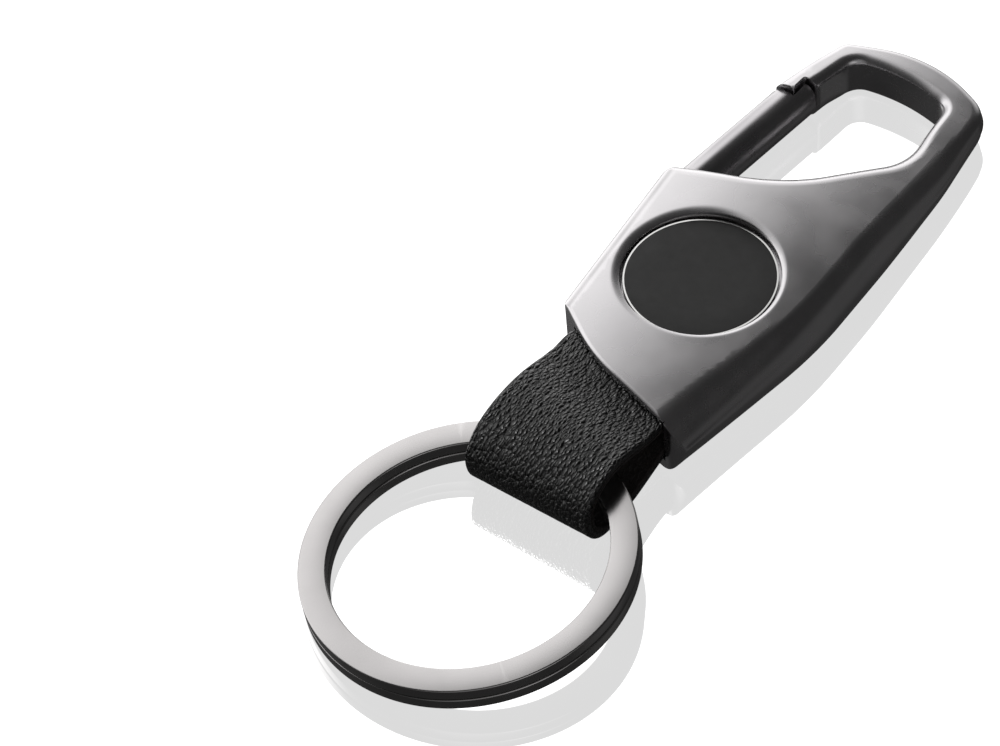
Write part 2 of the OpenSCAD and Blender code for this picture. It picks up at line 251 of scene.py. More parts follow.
def metal(name, colour, rough, grain=1.0, wear=0.5):
    """Satin plated metal: blasted grain, soft stains in the gloss, and brighter worn edges."""
    m, n = material(name)
    at = n.add("TexCoord").outputs["Object"]
    fine = n.noise(at, 2600, 3, 0.5)
    cloud = n.noise(at, 220, 2, 0.5)
    broad = n.noise(at, 60, 2, 0.5)
    edge = n.ramp(n.add("NewGeometry").outputs["Pointiness"], (0.57, 0.0), (0.68, 1.0))
    edge = n.math("MULTIPLY", edge, wear)
    edge = n.math("MULTIPLY", edge, n.ramp(n.noise(at, 900, 4, 0.7), (0.35, 0.25), (0.65, 1.0)))
    dark, light = (tuple(c * k for c in colour) for k in (0.93, 1.05))
    base = n.ramp(cloud, (0.3, dark), (0.7, light))
    base = n.add("Mix", {0: edge, 6: base, 7: (*(min(1, c * 1.35 + 0.05) for c in colour), 1)},
                 data_type="RGBA").outputs[2]
    gloss = n.math("ADD", n.ramp(cloud, (0.25, rough - 0.035), (0.75, rough + 0.035)),
                   n.math("MULTIPLY", n.math("SUBTRACT", broad, 0.5), 0.05))
    gloss = n.math("SUBTRACT", gloss, n.math("MULTIPLY", edge, 0.1), clamp=True)
    height = n.math("MULTIPLY", fine, grain)
    close(n, Base_Color=base, Metallic=1.0, Roughness=gloss, Normal=n.bump(height, 0.022, 0.00002))
    return m


def matte_black(name):
    """Matt plastic with a fine tooth."""
    m, n = material(name)
    at = n.add("TexCoord").outputs["Object"]
    base = n.ramp(n.noise(at, 420, 4, 0.6), (0.3, 0.0195), (0.7, 0.0235))
    gloss = n.ramp(n.noise(at, 900, 3, 0.6), (0.3, 0.5), (0.7, 0.58))
    height = n.noise(at, 9000, 3, 0.6)
    close(n, Base_Color=base, Roughness=gloss, IOR=1.45, Normal=n.bump(height, 0.15, 0.00002))
    return m


def leather(name, dark, light, pebble, rough, shine, depth):
    """Leather with small domed cells, creases between them and pores. The depth of its grain is in metres."""
    m, n = material(name)
    at = n.add("TexCoord").outputs["Object"]
    warp = n.add("TexNoise", {"Vector": at, "Scale": 900.0, "Detail": 3.0}).outputs["Color"]
    warp = n.add("VectorMath", {0: warp, 1: (0.0004,) * 3}, operation="MULTIPLY").outputs[0]
    warped = n.add("VectorMath", {0: at, 1: warp}, operation="ADD").outputs[0]
    cells = n.place(warped, (1.7, 0.8, 1.0), rotation=(0, 0, 0.25))
    near = n.add("TexVoronoi", {"Vector": cells, "Scale": 1500.0}, feature="F1").outputs["Distance"]
    dome = n.math("SUBTRACT", 1.0, n.math("MULTIPLY", n.math("MULTIPLY", near, near), 2.0))
    edge = n.add("TexVoronoi", {"Vector": cells, "Scale": 1500.0},
                 feature="DISTANCE_TO_EDGE").outputs["Distance"]
    crease = n.ramp(edge, (0.0, 0.0), (0.08, 0.7), (0.25, 1.0))
    height = n.math("MULTIPLY", n.math("ADD", dome, n.math("MULTIPLY", crease, 0.5)), pebble)
    height = n.math("ADD", height, n.math("MULTIPLY", n.noise(at, 7000, 3, 0.6), 0.05))
    # the colour is darker in the creases between the cells, painted shade, and also varies at random in patches
    crease_shade_and_tone = n.math("MULTIPLY", crease, n.ramp(n.noise(at, 300, 4, 0.6), (0.3, 0.6), (0.7, 1.0)))
    base = n.ramp(crease_shade_and_tone, (0.0, dark), (1.0, light))
    gloss = n.ramp(crease, (0.0, rough + 0.3), (1.0, rough))
    close(n, Base_Color=base, Roughness=gloss, IOR=1.5, Specular_IOR_Level=shine,
          Normal=n.bump(height, 1.0, depth))
    return m


def amber_film(name):
    """Dried clear glue with a slight ripple."""
    m, n = material(name)
    at = n.add("TexCoord").outputs["Object"]
    base = n.ramp(n.noise(at, 700, 3, 0.5), (0.3, (0.6, 0.52, 0.34)), (0.7, (0.78, 0.7, 0.5)))
    close(n, Base_Color=base, Roughness=n.ramp(n.noise(at, 2500, 3, 0.5), (0.3, 0.25), (0.7, 0.4)),
          Normal=n.bump(n.noise(at, 3000, 3, 0.5), 0.2, 0.00003))
    return m


gunmetal = metal("gunmetal", (0.50, 0.49, 0.50), 0.27, wear=0.15)
# the gate's plating is the body's gunmetal in a darker colour: painted shade on the gate
gate_metal_painted_shade = metal("gunmetal_gate_painted_shade", (0.37, 0.36, 0.37), 0.27, wear=0.15)
nickel = metal("nickel", (0.40, 0.39, 0.39), 0.24, 0.6, 0.4)
polished = metal("polished_edge", (0.86, 0.86, 0.85), 0.14, 0.3)
steel = metal("steel", (0.56, 0.56, 0.55), 0.28, 0.8)
black_disc = matte_black("black_inlay")
grain_leather = leather("grain_leather", (0.0015,) * 3, (0.003,) * 3, 1.0, 0.25, 0.6, 0.00013)
lining_leather = leather("lining", (0.006, 0.004, 0.0035), (0.016, 0.012, 0.011), 0.35, 0.55, 0.4, 0.00007)
adhesive = amber_film("adhesive")

# ---- the strap's course ----
# The strap's middle line as cubic curves: every third point (y, z) lies on it, and the two between steer it.
upper, lower = LEG_Z + (STRAP_T + LEG_GAP) / 2, LEG_Z - (STRAP_T + LEG_GAP) / 2
on_floor = STRAP_T / 2 + 0.05
STRAP_LINE = [(STRAP_END_Y, upper), (-6.6, upper), (-7.6, upper), (-9, 4.1), (-11.2, 4.2), (-12, 6.3),
              (-14.6, 6.45), (-16.2, 6.52), (-17.2, 6.45), (-18.6, 6.72), (-21, 7.2), (-22.6, 8.4),
              (-25.8, 8.38), (-29.3, 8.35), (-31.3, 6.6), (-31.3, 4.7), (-31.3, 2.4), (-30.1, on_floor),
              (-28, on_floor), (-22.6, on_floor), (-20, lower), (-16.5, lower), (-12, lower), (-8, lower),
              (STRAP_END_Y, lower)]


def strap_path(spacing):
    """Points and left normals along the strap's middle line, evenly spaced, with the distance along it."""
    c = np.array(STRAP_LINE, float)
    dense = []
    for i in range(0, len(c) - 1, 3):
        t = np.linspace(0, 1, 200, endpoint=False)[:, None]
        dense.append((1 - t) ** 3 * c[i] + 3 * (1 - t) ** 2 * t * c[i + 1] + 3 * (1 - t) * t * t * c[i + 2]
                     + t ** 3 * c[i + 3])
    dense = np.concatenate(dense + [c[-1:]])
    length = np.concatenate([[0], np.cumsum(np.linalg.norm(np.diff(dense, axis=0), axis=1))])
    at = np.linspace(0, length[-1], int(length[-1] / spacing))
    p = np.stack([np.interp(at, length, dense[:, k]) for k in range(2)], 1)
    t = np.gradient(p, axis=0)
    t /= np.linalg.norm(t, axis=1)[:, None]
    return at, p, np.stack([-t[:, 1], t[:, 0]], 1)


# ---- clip body ----
# Plan of the body as one outline, counter-clockwise: mouth, right side, far end, nose, opening, shoulder.
PLAN = [(-10.82, -9.4, 0.5), (-9.9, -10.6, 0.6), (-2.9, -15.4, 22), (10.05, -19.05, 1.25),
        (12.75, 2, 70), (12.25, 28, 40), (10.9, 38.5, 4), (1.8, 42.2, 16), (-7.8, 38.7, 1.8),
        (-10.29, 28.8, 0.3), (-7.75, 28.8, 0.2), (-7.75, 31, 0.2), (-6.11, 31, 0.5),
        (-5.2, 36.8, 2), (0.4, 37.8, 20), (7, 36.3, 1.9), (8, 26.8, 6.5), (-0.6, 16, 16),
        (-12.9, 12.03, 1.8)]
MOUTH, SIDE, NOSE, OPENING, SHOULDER = range(5)
rim, tags = outline(PLAN, EDGE_STEP)


def edge_kind(tag):
    """Which edge of the body an outline point belongs to."""
    if tag < 3:
        return MOUTH
    if tag < 9:
        return SIDE
    if tag < 13:
        return NOSE
    if tag < 17:
        return OPENING
    return SHOULDER if tag < 18.5 else SIDE


kinds = np.array([edge_kind(t) for t in tags])
# The lines that the rounded edges follow. Each runs on past the body, so an edge ends square at the next one.
OUTER, INNER, LIP, LATCH = range(4)
EDGE_LINES = [
    np.concatenate([[(8.65, -30)], rim[(tags > 3) & (tags < 9)], [(-11.5, 24)]]),
    np.concatenate([[(-7.84, 20)], rim[tags > 12], [(-9.4, -24)]]),
    np.concatenate([[(-14.8, -4.2)], rim[tags <= 3]]),
    rim[(tags >= 9) & (tags <= 12)]]


def distances(p):
    """Distance of each point to each of the edge lines."""
    out = np.empty((len(p), len(EDGE_LINES)))
    for k, line in enumerate(EDGE_LINES):
        a, ab = line[:-1], np.diff(line, axis=0)
        for lo in range(0, len(p), 1500):
            q = p[lo:lo + 1500, None, :]
            t = np.clip(((q - a) * ab).sum(2) / (ab * ab).sum(1), 0, 1)
            out[lo:lo + 1500, k] = np.linalg.norm(q - (a + t[..., None] * ab), axis=2).min(1)
    return out


def smooth(x):
    x = np.clip(x, 0, 1)
    return x * x * (3 - 2 * x)


def drop(d, a, b):
    """How far a rounded edge of width a and height b lies below the face, at distance d from the wall."""
    t = np.clip((a - d) / a, 0, 1)
    return b * (1 - np.sqrt(1 - t * t))


def thickness(y):
    """The front's height, with a soft start to its fall."""
    s = np.clip(y - TAPER_Y, -2, 2)
    soft = np.where(np.abs(y - TAPER_Y) < 2, (s + 2) ** 2 / 8, np.maximum(y - TAPER_Y, 0))
    return BODY_T - TAPER * soft


def joined(*falls):
    """The larger of several falls, with a soft change from one to the next."""
    return sum(f ** 5 for f in falls) ** 0.2



def front(p):
    """Height of the body's front at plan points."""
    x, y = p[:, 0], p[:, 1]
    d = distances(p)
    share = thickness(y) / BODY_T
    far = smooth((y - 27) / 8)
    outer_a = 1.75 + 1.75 * smooth((4 - y) / 24) - 0.7 * far
    outer = drop(d[:, OUTER], outer_a, 3.0 + 0.3 * (outer_a - 1.75) - 1.0 * far)
    far = smooth((y - 24) / 9)
    inner = drop(d[:, INNER], 2.1 - 0.9 * far, 2.7 - 1.1 * far)
    fall = joined(joined(outer, inner) * share, drop(d[:, LIP], MOUTH_EDGE, MOUTH_EDGE),
                  drop(d[:, LATCH], NOSE_EDGE, NOSE_EDGE))
    return thickness(y) - x * x / (2 * CROWN_R) - fall


def back(p):
    """Height of the body's back at plan points. The nose is rounder underneath."""
    x, y = p[:, 0], p[:, 1]
    d = distances(p)
    nose = smooth((36.5 - y) / 4.5) * smooth((-2 - x) / 3) * smooth((y - 22) / 3)
    outer = 0.9 + np.maximum(2.4 * np.clip((6 - y) / 25, 0, 1) ** 1.3, 1.3 * smooth((y - 14) / 18))
    return joined(drop(d[:, OUTER], outer, outer), drop(d[:, INNER], 0.9 + 0.9 * nose, 0.9 + 1.3 * nose),
                  drop(d[:, LIP], BACK_LIP, BACK_LIP), drop(d[:, LATCH], BACK_LIP, BACK_LIP))


def inward(p):
    """Unit normals of the outline, pointing into the body."""
    t = np.roll(p, -1, 0) - np.roll(p, 1, 0)
    t /= np.linalg.norm(t, axis=1)[:, None]
    return np.stack([-t[:, 1], t[:, 0]], 1)


def inside(p):
    """Which points lie inside the outline."""
    a, b = rim, np.roll(rim, -1, 0)
    x, y = p[:, 0:1], p[:, 1:2]
    spans = (a[:, 1] > y) != (b[:, 1] > y)
    with np.errstate(divide="ignore", invalid="ignore"):
        cross = a[:, 0] + (y - a[:, 1]) * (b[:, 0] - a[:, 0]) / (b[:, 1] - a[:, 1])
    return (spans & (x < cross)).sum(1) % 2 == 1


def sheet_points(ring_offsets, spacing, hole):
    """Plan points for a sheet: offset rings along the outline, then an even grid, clear of a round hole."""
    points = [rim]
    normals = inward(rim)
    for offset, keep in ring_offsets:
        q = (rim + normals * offset)[::keep]
        d = distances(q).min(1)
        points.append(q[(d > offset * 0.985) & inside(q)])
    last = ring_offsets[-1][0]
    xs = np.arange(-13, 13, spacing)
    ys = np.arange(-20, 41, spacing * 0.866)
    grid = np.array([(x + (spacing / 2 if j % 2 else 0), y) for j, y in enumerate(ys) for x in xs])
    grid = grid[inside(grid)]
    points.append(grid[distances(grid).min(1) > last + spacing * 0.6])
    circles = []
    if hole:
        points = [p[np.hypot(p[:, 0] - RIM_X, p[:, 1] - RIM_Y) > hole + 0.75] for p in points]
        for r, n in ((hole, HOLE_SIDES), (hole + 0.2, HOLE_SIDES), (hole + 0.45, HOLE_SIDES)):
            t = 2 * math.pi * (np.arange(n) + (0.5 if r == hole + 0.2 else 0)) / n
            circles.append(np.stack([RIM_X + r * np.cos(t), RIM_Y + r * np.sin(t)], 1))
    return points, circles


def triangulate(points, circles):
    loose = np.concatenate(points[1:])
    _, first = np.unique(np.round(loose / 0.04), axis=0, return_index=True)
    loose = loose[np.sort(first)]
    flat = np.concatenate([rim, loose] + circles)
    n = len(rim)
    edges = [(i, (i + 1) % n) for i in range(n)]
    if circles:
        start = n + len(loose)
        edges += [(start + i, start + (i + 1) % HOLE_SIDES) for i in range(HOLE_SIDES)]
    verts, _, faces, _, _, _ = delaunay_2d_cdt([Vector(p) for p in flat], edges, [], 1, 1e-7)
    xy = np.array([tuple(v) for v in verts])
    assert len(xy) == len(flat) and np.abs(xy - flat).max() < 1e-4, (len(xy), len(flat))
    tri = np.array(faces)
    middle = flat[tri].mean(1)
    keep = inside(middle)
    if circles:
        # a triangle with all its corners on the hole's edge lies in the hole
        keep &= ~((tri >= start) & (tri < start + HOLE_SIDES)).all(1)
    tri = tri[keep]
    a, b, c = (flat[tri[:, k]] for k in range(3))
    flip = (b - a)[:, 0] * (c - a)[:, 1] - (b - a)[:, 1] * (c - a)[:, 0] < 0
    tri[flip] = tri[flip][:, ::-1]
    return flat, tri, n + len(loose)


def band(row, previous):
    """Faces between two closed rows of points, the first of which lies below or inside the other."""
    following, before = np.roll(row, -1), np.roll(previous, -1)
    return [tuple(int(i) for i in f) for f in zip(previous, row, following, before)]


def build_body():
    rings = [(0.03, 1), (0.08, 1), (0.16, 1), (0.26, 1), (0.4, 1), (0.6, 1), (0.85, 1), (1.15, 1), (1.5, 1),
             (1.9, 1), (2.35, 1)]
    points, circles = sheet_points(rings, TOP_SPACING, RIM_R)
    top, top_faces, hole_start = triangulate(points, circles)
    rings = [(0.05, 1), (0.16, 1), (0.35, 1), (0.6, 2), (0.9, 2), (1.3, 2), (1.8, 3)]
    points, _ = sheet_points(rings, LOW_SPACING, 0)
    low, low_faces, _ = triangulate(points, [])
    verts = [np.column_stack([top, front(top)]), np.column_stack([low, back(low)])]
    faces = [tuple(f) for f in top_faces]
    faces += [tuple(int(i) + len(top) for i in f[::-1]) for f in low_faces]
    count = len(top) + len(low)
    # side walls, very slightly bowed out between the two rounded edges
    n = len(rim)
    z1, z0 = verts[0][:n, 2], verts[1][:n, 2]
    bow = np.where(kinds == SIDE, 1.0, 0.0)
    for _ in range(12):
        bow = (np.roll(bow, 1) + bow + np.roll(bow, -1)) / 3
    bow[kinds == MOUTH] = 0
    previous = np.arange(n)
    for k in range(1, WALL_ROWS):
        t = k / WALL_ROWS
        out = -inward(rim) * (bow * WALL_BOW * math.sin(math.pi * t))[:, None]
        verts.append(np.column_stack([rim + out, z1 + (z0 - z1) * t]))
        row = count + np.arange(n)
        count += n
        faces += band(row, previous)
        previous = row
    faces += band(len(top) + np.arange(n), previous)
    # the recess: a rounded rim, a wall and a floor
    hole = hole_start + np.arange(HOLE_SIDES)
    t = 2 * math.pi * np.arange(HOLE_SIDES) / HOLE_SIDES
    ring_z = verts[0][hole, 2]
    rim_at = verts[0][hole, :2]
    wall_at = RECESS_R * np.column_stack([np.cos(t), np.sin(t)])
    width = np.linalg.norm(rim_at - wall_at, axis=1)
    slope = 0.28 + 0.22 * np.abs(np.cos(t))
    previous = hole
    rim_rows = [(share, 0) for share in (0.12, 0.25, 0.4, 0.55, 0.7, 0.84, 0.93)]
    rim_rows += [(0.98, 0.02), (1, 0.08), (1, None)]
    for share, tuck in rim_rows:
        if tuck is None:
            z = np.full(HOLE_SIDES, RECESS_FLOOR)
        else:
            z = ring_z - slope * width / 2 * share ** 2 - tuck
        verts.append(np.column_stack([rim_at + (wall_at - rim_at) * share, z]))
        row = count + np.arange(HOLE_SIDES)
        count += HOLE_SIDES
        faces += [(d, c, b, a) for a, b, c, d in band(row, previous)]
        previous = row
    verts.append(np.array([[0, 0, RECESS_FLOOR]]))
    faces += [(count, int(previous[i]), int(previous[(i + 1) % HOLE_SIDES])) for i in range(HOLE_SIDES)]
    return make_object("carabiner_body_shell", np.concatenate(verts), faces, gunmetal)


body = build_body()

# the pocket for the strap, whose roof rises with the strap's upper leg
low_z = LEG_Z - STRAP_T - LEG_GAP / 2 - FIT_GAP
_, leg, leg_left = strap_path(0.5)
upper_leg = (leg[:, 0] > -18.6) & (np.arange(len(leg)) < len(leg) // 2)
roof = (leg - leg_left * (STRAP_T / 2 + FIT_GAP))[upper_leg]
pocket_line = [(-20.5, low_z - 0.8), (-20.5, roof[-1][1] + 0.5)] + [tuple(r) for r in roof[::-1]] + [
    (STRAP_END_Y + 0.4, roof[0][1]), (STRAP_END_Y + 0.4, low_z), (-17.4, low_z)]
x0, x1 = STRAP_X - STRAP_W / 2 - FIT_GAP, STRAP_X + STRAP_W / 2 + FIT_GAP
k = len(pocket_line)
pocket = make_object(
    "pocket", [(x0, y, z) for y, z in pocket_line] + [(x1, y, z) for y, z in pocket_line],
    [tuple(range(k)), tuple(range(2 * k - 1, k - 1, -1))]
    + [((i + 1) % k, i, k + i, k + (i + 1) % k) for i in range(k)], gunmetal)
combine(body, pocket, "DIFFERENCE")

# the gate's slot, from its shut to its open place
slot_r = GATE_R + FIT_GAP
slot_z = (MID_Z - slot_r, MID_Z + slot_r)
shut, opened = math.radians(90 - GATE_LEAN), math.radians(90 - GATE_LEAN - GATE_OPEN)
reach = 16.0
px, py = PIVOT
slot = prism("slot", [
    (px, py - slot_r, 0.1), (px - 4.5, py - slot_r, 0.1), (px - 4.5, py + reach, 0.1),
    (px + reach * math.cos(shut), py + reach * math.sin(shut), 0.1),
    (px + reach * math.cos(opened) + slot_r * math.sin(opened),
     py + reach * math.sin(opened) - slot_r * math.cos(opened), 0.1),
    (px + slot_r * math.sin(opened), py - slot_r * math.cos(opened), 0.1)][::-1], *slot_z, gunmetal)
hub_r = slot_r + 0.35
combine(slot, lathe("hub", [(0, slot_z[0]), (hub_r, slot_z[0]), (hub_r, slot_z[1]), (0, slot_z[1])],
                    (px, py, 0), (0, 0, 1), gunmetal, 64), "UNION")
combine(slot, prism("lobe_room", [(px, py - 3, 0.1), (px + LOBE_ARM + LOBE_R + 0.3, py - 3, 0.1),
                                  (px + LOBE_ARM + LOBE_R + 0.3, py + 1.5, 0.1), (px, py + 1.5, 0.1)],
                    *slot_z, gunmetal), "UNION")
combine(body, slot, "DIFFERENCE")

# the pin's blind bore, the spring's bore and the screws' counterbores
bore_top = 6.7
combine(body, lathe("bore", [(0, -1), (PIN_R, -1), (PIN_R, bore_top), (0, bore_top)],
                    (px, py, 0), (0, 0, 1), gunmetal, 64), "DIFFERENCE")
combine(body, lathe("spring_bore", [(0, 0), (1.0, 0), (1.0, py - SPRING_Y[0]), (0, py - SPRING_Y[0])],
                    (px + LOBE_ARM, SPRING_Y[0], MID_Z), (0, 1, 0), gunmetal, 48), "DIFFERENCE")
for x, y in SCREWS:
    combine(body, lathe("screw_bore", [(0, -0.5), (2.0, -0.5), (2.0, -0.02), (1.8, 0.2), (1.8, 1.0),
                                       (0.9, 1.0), (0.9, SCREW_TOP + 0.2), (0, SCREW_TOP + 0.2)],
                        (x, y, 0), (0, 0, 1), gunmetal, 64), "DIFFERENCE")
shade(body, 32)


def true_normals(obj):
    """Gives the front's vertices the exact normals of its height, for clean soft reflections."""
    mesh = obj.data
    co = np.zeros(len(mesh.vertices) * 3)
    mesh.vertices.foreach_get("co", co)
    co = co.reshape(-1, 3) / MM
    plan = co[:, :2]
    near = inside(plan) & (np.hypot(plan[:, 0] - RIM_X, plan[:, 1] - RIM_Y) > RIM_R + 0.05)
    ids = np.nonzero(near)[0]
    on_front = np.abs(front(plan[ids]) - co[ids, 2]) < 0.04
    ids = ids[on_front & (distances(plan[ids]).min(1) > 0.1)]
    e = 0.02
    gx = (front(plan[ids] + (e, 0)) - front(plan[ids] - (e, 0))) / (2 * e)
    gy = (front(plan[ids] + (0, e)) - front(plan[ids] - (0, e))) / (2 * e)
    exact = np.zeros((len(co), 3))
    exact[ids] = np.column_stack([-gx, -gy, np.ones(len(ids))])
    exact[ids] /= np.linalg.norm(exact[ids], axis=1)[:, None]
    loops = np.zeros(len(mesh.loops), int)
    mesh.loops.foreach_get("vertex_index", loops)
    face_of = np.repeat(np.arange(len(mesh.polygons)), [p.loop_total for p in mesh.polygons])
    face_n = np.array([p.normal for p in mesh.polygons])
    custom = exact[loops]
    custom[face_n[face_of][:, 2] < 0.05] = 0
    mesh.normals_split_custom_set([tuple(c) for c in custom])


true_normals(body)
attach(body, "carabiner")
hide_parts("carabiner_body")

# ---- inlay disc ----
disc_low = DISC_TOP - DISC_T
face_z = DISC_TOP - FACE_DROP
disc = lathe("inlay_disc_face", [(0, disc_low), (DISC_R - 0.12, disc_low), (DISC_R - 0.12, DISC_TOP - 0.3),
                                 (DISC_FACE_R, DISC_TOP - 0.25), (DISC_FACE_R, DISC_TOP - 0.06),
                                 (DISC_R - 0.25, DISC_TOP - 0.03), (DISC_R - 0.34, face_z),
                                 (DISC_R * 0.6, face_z), (0, face_z)],
             (0, 0, 0), (0, 0, 1), black_disc, 180, 50)
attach(disc, "carabiner")
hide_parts("inlay_disc")

# the thin polished line round the disc's face, as a section (radius, height) from the disc's top corner
edge = [(-0.1, -0.9), (0.0, -0.9), (0.0, -0.06), (-0.03, 0.0), (-0.21, 0.0), (-0.22, -0.02), (-0.22, -0.2)]
edge_verts, edge_faces, sides = [], [], 240
for k in range(sides):
    turn = 2 * math.pi * k / sides
    edge_verts += [((DISC_R + dr) * math.cos(turn), (DISC_R + dr) * math.sin(turn), DISC_TOP + dz)
                   for dr, dz in edge]
for k in range(sides):
    a, b = k * len(edge), (k + 1) % sides * len(edge)
    edge_faces += [(a + i, b + i, b + (i + 1) % len(edge), a + (i + 1) % len(edge))
                   for i in range(len(edge))]
disc_edge = make_object("inlay_disc_edge", edge_verts, edge_faces, polished, 50)
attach(disc_edge, "carabiner")
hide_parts("inlay_disc")

# ---- gate ----
lean = math.radians(GATE_LEAN)
along = (math.sin(lean), math.cos(lean), 0)
gate = lathe("gate_bar", [(0, 0), (GATE_R, 0), (GATE_R, 8), (GATE_R, 16), (GATE_R, 24), (0, 24)],
             (px, py, MID_Z), along, gate_metal_painted_shade, 128)
gate_plan = [(-15, 4, 1), (-2, 4, 1), (-4.4, 28.6, 2.2), (-6.2, 30.6, 0.9), (-7.45, 30.7, 0.3),
             (-7.55, 28.5, 0.1), (-15, 28.5, 1)]
combine(gate, prism("gate_plan", gate_plan, -1, 9, gate_metal_painted_shade, 0.15), "INTERSECT")
boss_r, low, high = 1.9, MID_Z - GATE_R, MID_Z + GATE_R
combine(gate, lathe("boss", [(0, low), (boss_r, low), (boss_r, high), (0, high)],
                    (px, py, 0), (0, 0, 1), gate_metal_painted_shade, 64), "UNION")
combine(gate, prism("lobe", [(px, py - LOBE_R, 0.05), (px + LOBE_ARM + LOBE_R, py - LOBE_R, 0.95),
                             (px + LOBE_ARM + LOBE_R, py + LOBE_R, 0.95), (px, py + LOBE_R, 0.05)],
                    MID_Z - 1.2, MID_Z + 1.2, gate_metal_painted_shade, 0.15), "UNION")
bore_r = PIN_R + 0.06
combine(gate, lathe("gate_bore", [(0, -1), (bore_r, -1), (bore_r, 9), (0, 9)],
                    (px, py, 0), (0, 0, 1), gate_metal_painted_shade, 64), "DIFFERENCE")
bevel = gate.modifiers.new("bevel", "BEVEL")
bevel.width, bevel.segments = 0.16 * MM, 3
bevel.limit_method, bevel.angle_limit = "ANGLE", math.radians(38)
apply_modifiers(gate)
shade(gate, 34)
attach(gate, "gate")
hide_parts("gate")


# ---- swept pieces ----
def sweep(name, sections, material, smooth_angle=40):
    """Solid skinned over a list of equal closed sections of points."""
    m = len(sections[0])
    verts = [p for s in sections for p in s]
    faces = []
    for i in range(len(sections) - 1):
        for j in range(m):
            a, b = i * m + j, i * m + (j + 1) % m
            faces.append((a, b, b + m, a + m))
    faces.append(tuple(range(m - 1, -1, -1)))
    faces.append(tuple((len(sections) - 1) * m + j for j in range(m)))
    # faces look outwards whichever way round the sections run
    corners = [[np.array(verts[f[k]]) for k in (0, i, i + 1)] for f in faces for i in range(1, len(f) - 1)]
    if sum(np.dot(a, np.cross(b, c)) for a, b, c in corners) < 0:
        faces = [f[::-1] for f in faces]
    return make_object(name, verts, faces, material, smooth_angle)


# ---- split ring: one flat strip wound twice ----
def ring_section(turn, z, shrink):
    """Section of the strip, with rounded edges, at an angle about the ring's axis."""
    r0, r1 = RING_R - RING_W, RING_R
    edge, points = 0.17, []
    for cx, cz, start in ((r1, 1, 0), (r0, 1, 90), (r0, -1, 180), (r1, -1, 270)):
        sx = 1 if cx == r1 else -1
        for a in np.radians(start + np.linspace(0, 90, 6)):
            points.append((cx - sx * edge + edge * math.cos(a),
                           cz * (COIL_T / 2 - edge) + edge * math.sin(a)))
    out = []
    for r, h in points:
        r = (r0 + r1) / 2 + (r - (r0 + r1) / 2) * (1 - shrink / RING_W)
        h *= 1 - shrink / COIL_T
        out.append((r * math.cos(turn), r * math.sin(turn), z + h))
    return out


# the strip climbs from the lower coil to the upper one at the jog, and its two ends stop beside it
JOG, END_GAP = math.radians(11), math.radians(2)
top_z, bottom_z = (COIL_T + COIL_GAP) / 2, -(COIL_T + COIL_GAP) / 2
start, stop = JOG + END_GAP, 4 * math.pi - JOG - END_GAP
half_climb = JOG * 0.82
turns = np.linspace(start, stop, 620)
sections = []
end_rounding = ((0.3, 0.0), (0.12, 0.003), (0.03, 0.008))
for shrink, offset in end_rounding:
    sections.append(ring_section(start + offset, bottom_z, shrink))
for turn in turns[1:-1]:
    climb = smooth((turn - 2 * math.pi + half_climb) / (2 * half_climb))
    sections.append(ring_section(turn, bottom_z + (top_z - bottom_z) * float(climb), 0))
for shrink, offset in reversed(end_rounding):
    sections.append(ring_section(stop - offset, top_z, shrink))
ring = sweep("split_ring_coil", sections, nickel)
place = (Matrix.Translation(Vector(RING_CENTRE) * MM) @ Matrix.Rotation(math.radians(-RING_ROLL), 4, "Y")
         @ Matrix.Rotation(math.radians(RING_PITCH), 4, "X") @ Matrix.Rotation(math.radians(90), 4, "Z"))
ring.data.transform(place)
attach(ring, "key_ring")
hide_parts("split_ring")

# ---- strap ----
def skewed(x, y, z):
    """Places a point of the strap. The loop's upper part leans towards -Y on the right, least at the fold."""
    amount = 0.22 - 0.19 * smooth((-20 - y) / 11)
    lean = float(smooth((z - 4.5) / 3) * smooth((-15.5 - y) / 3) * amount)
    return STRAP_X + x, y - x * lean, z


def pebble(s, x):
    """Depth of the leather's grain below its top, from 0 to 1: long cells with creases between."""
    q = Vector((s * 1.35, x * 2.3, 0))
    q += noise.noise_vector(Vector((s * 1.1, x * 1.1, 7.0))) * 0.45
    d, _ = noise.voronoi(q)
    return 1 - min(1.0, (d[1] - d[0]) / 0.28)


half_w = STRAP_W / 2
inner = LEATHER_T - STRAP_T / 2      # where the leather meets the lining, across the strap's thickness
at, path, left = strap_path(0.13)
edge_r = 0.34
outer_x = np.linspace(-(half_w - edge_r), half_w - edge_r, 118)
GRAIN_DEPTH = 0.055
sections = []
for s, p, n_left in zip(at, path, left):
    section = []
    visible = smooth((-16.0 - p[0]) / 1.5)
    worn = 1 - 0.8 * smooth((3.6 - p[1]) / 2.0) * smooth((-24 - p[0]) / 3)
    for x in outer_x:
        edge_fade = smooth((half_w - edge_r - abs(x)) / 0.9)
        fade = visible * worn * edge_fade
        depth = GRAIN_DEPTH * fade * pebble(s, x) if fade > 0 else 0.0
        section.append((x, -STRAP_T / 2 + float(depth)))
    for a in np.radians(np.linspace(15, 90, 6)):
        section.append((half_w - edge_r + edge_r * math.sin(a), -STRAP_T / 2 + edge_r * (1 - math.cos(a))))
    section += [(half_w, (inner - STRAP_T / 2 + edge_r) / 2), (half_w - 0.02, inner - 0.03)]
    section += [(x, inner) for x in np.linspace(half_w - 0.06, -half_w + 0.06, 12)]
    section += [(-half_w + 0.02, inner - 0.03), (-half_w, (inner - STRAP_T / 2 + edge_r) / 2)]
    for a in np.radians(np.linspace(90, 15, 6)):
        section.append((-half_w + edge_r - edge_r * math.sin(a), -STRAP_T / 2 + edge_r * (1 - math.cos(a))))
    sections.append([skewed(x, p[0] + n_left[0] * d, p[1] + n_left[1] * d) for x, d in section])
strap = sweep("strap_grain_leather", sections, grain_leather, smooth_angle=60)

